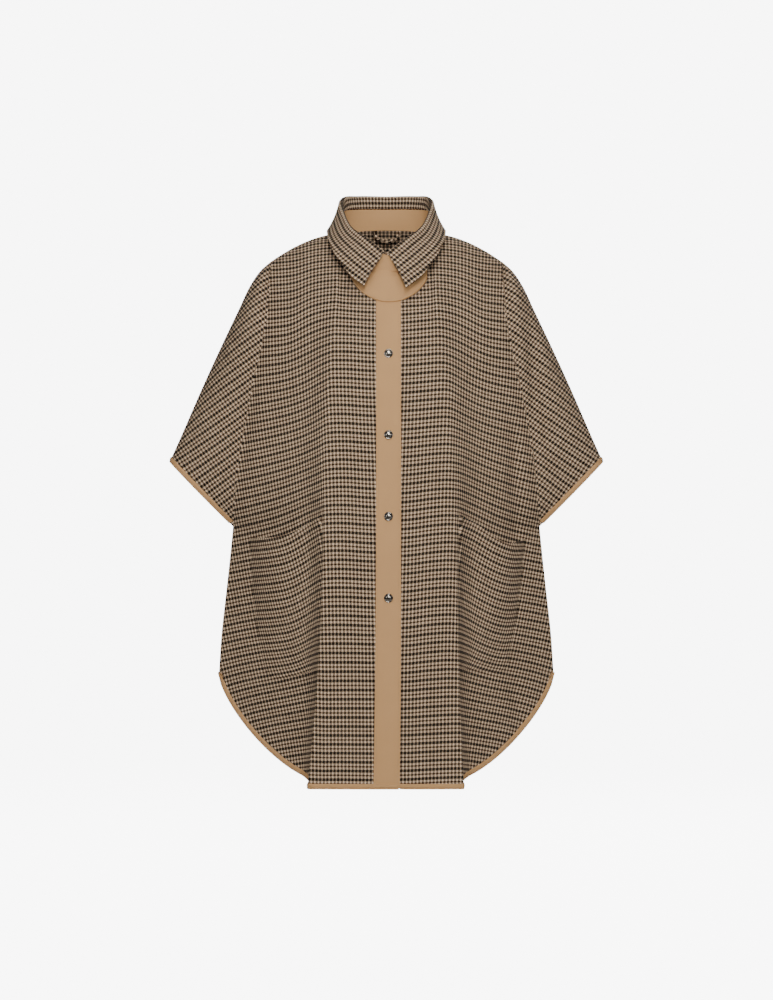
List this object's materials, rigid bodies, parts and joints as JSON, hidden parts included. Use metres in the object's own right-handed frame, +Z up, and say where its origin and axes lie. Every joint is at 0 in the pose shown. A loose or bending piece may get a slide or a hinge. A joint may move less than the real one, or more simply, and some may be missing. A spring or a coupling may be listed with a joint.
{
  "type": "poncho",
  "caption": "Worn check wool poncho with wide sleeves cut in one, shirt collar, tan cotton bib, placket and bindings, slack patch pockets and metal snaps",
  "frame": {"origin": "the base of the neck, level with the side neck points on the shoulder seams, where the wearer's shoulders hold the poncho", "axes": "+X to the wearer's left, +Y to the wearer's back, +Z up"},
  "size_m": [0.6964, 0.2651, 0.9428],
  "materials": {
    "check_wool": "napped twill in a small check",
    "tan_cotton": "matt plain-woven cotton",
    "snap_metal": "polished ring-domed caps"
  },
  "bodies": {
    "root": {"front_right": "check_wool", "front_left": "check_wool", "back": "check_wool", "collar_fall": "check_wool", "collar_stand": "tan_cotton", "neck_bib": "tan_cotton", "placket": "tan_cotton", "pocket_right": "check_wool", "pocket_left": "check_wool", "hem_binding_right": "tan_cotton", "hem_binding_left": "tan_cotton", "hem_binding_back": "tan_cotton", "cuff_binding_front_right": "tan_cotton", "cuff_binding_front_left": "tan_cotton", "cuff_binding_back_right": "tan_cotton", "cuff_binding_back_left": "tan_cotton", "hanger_loop": "check_wool", "snap_1": "snap_metal", "snap_2": "snap_metal", "snap_3": "snap_metal", "snap_4": "snap_metal"}
  },
  "joints": []
}
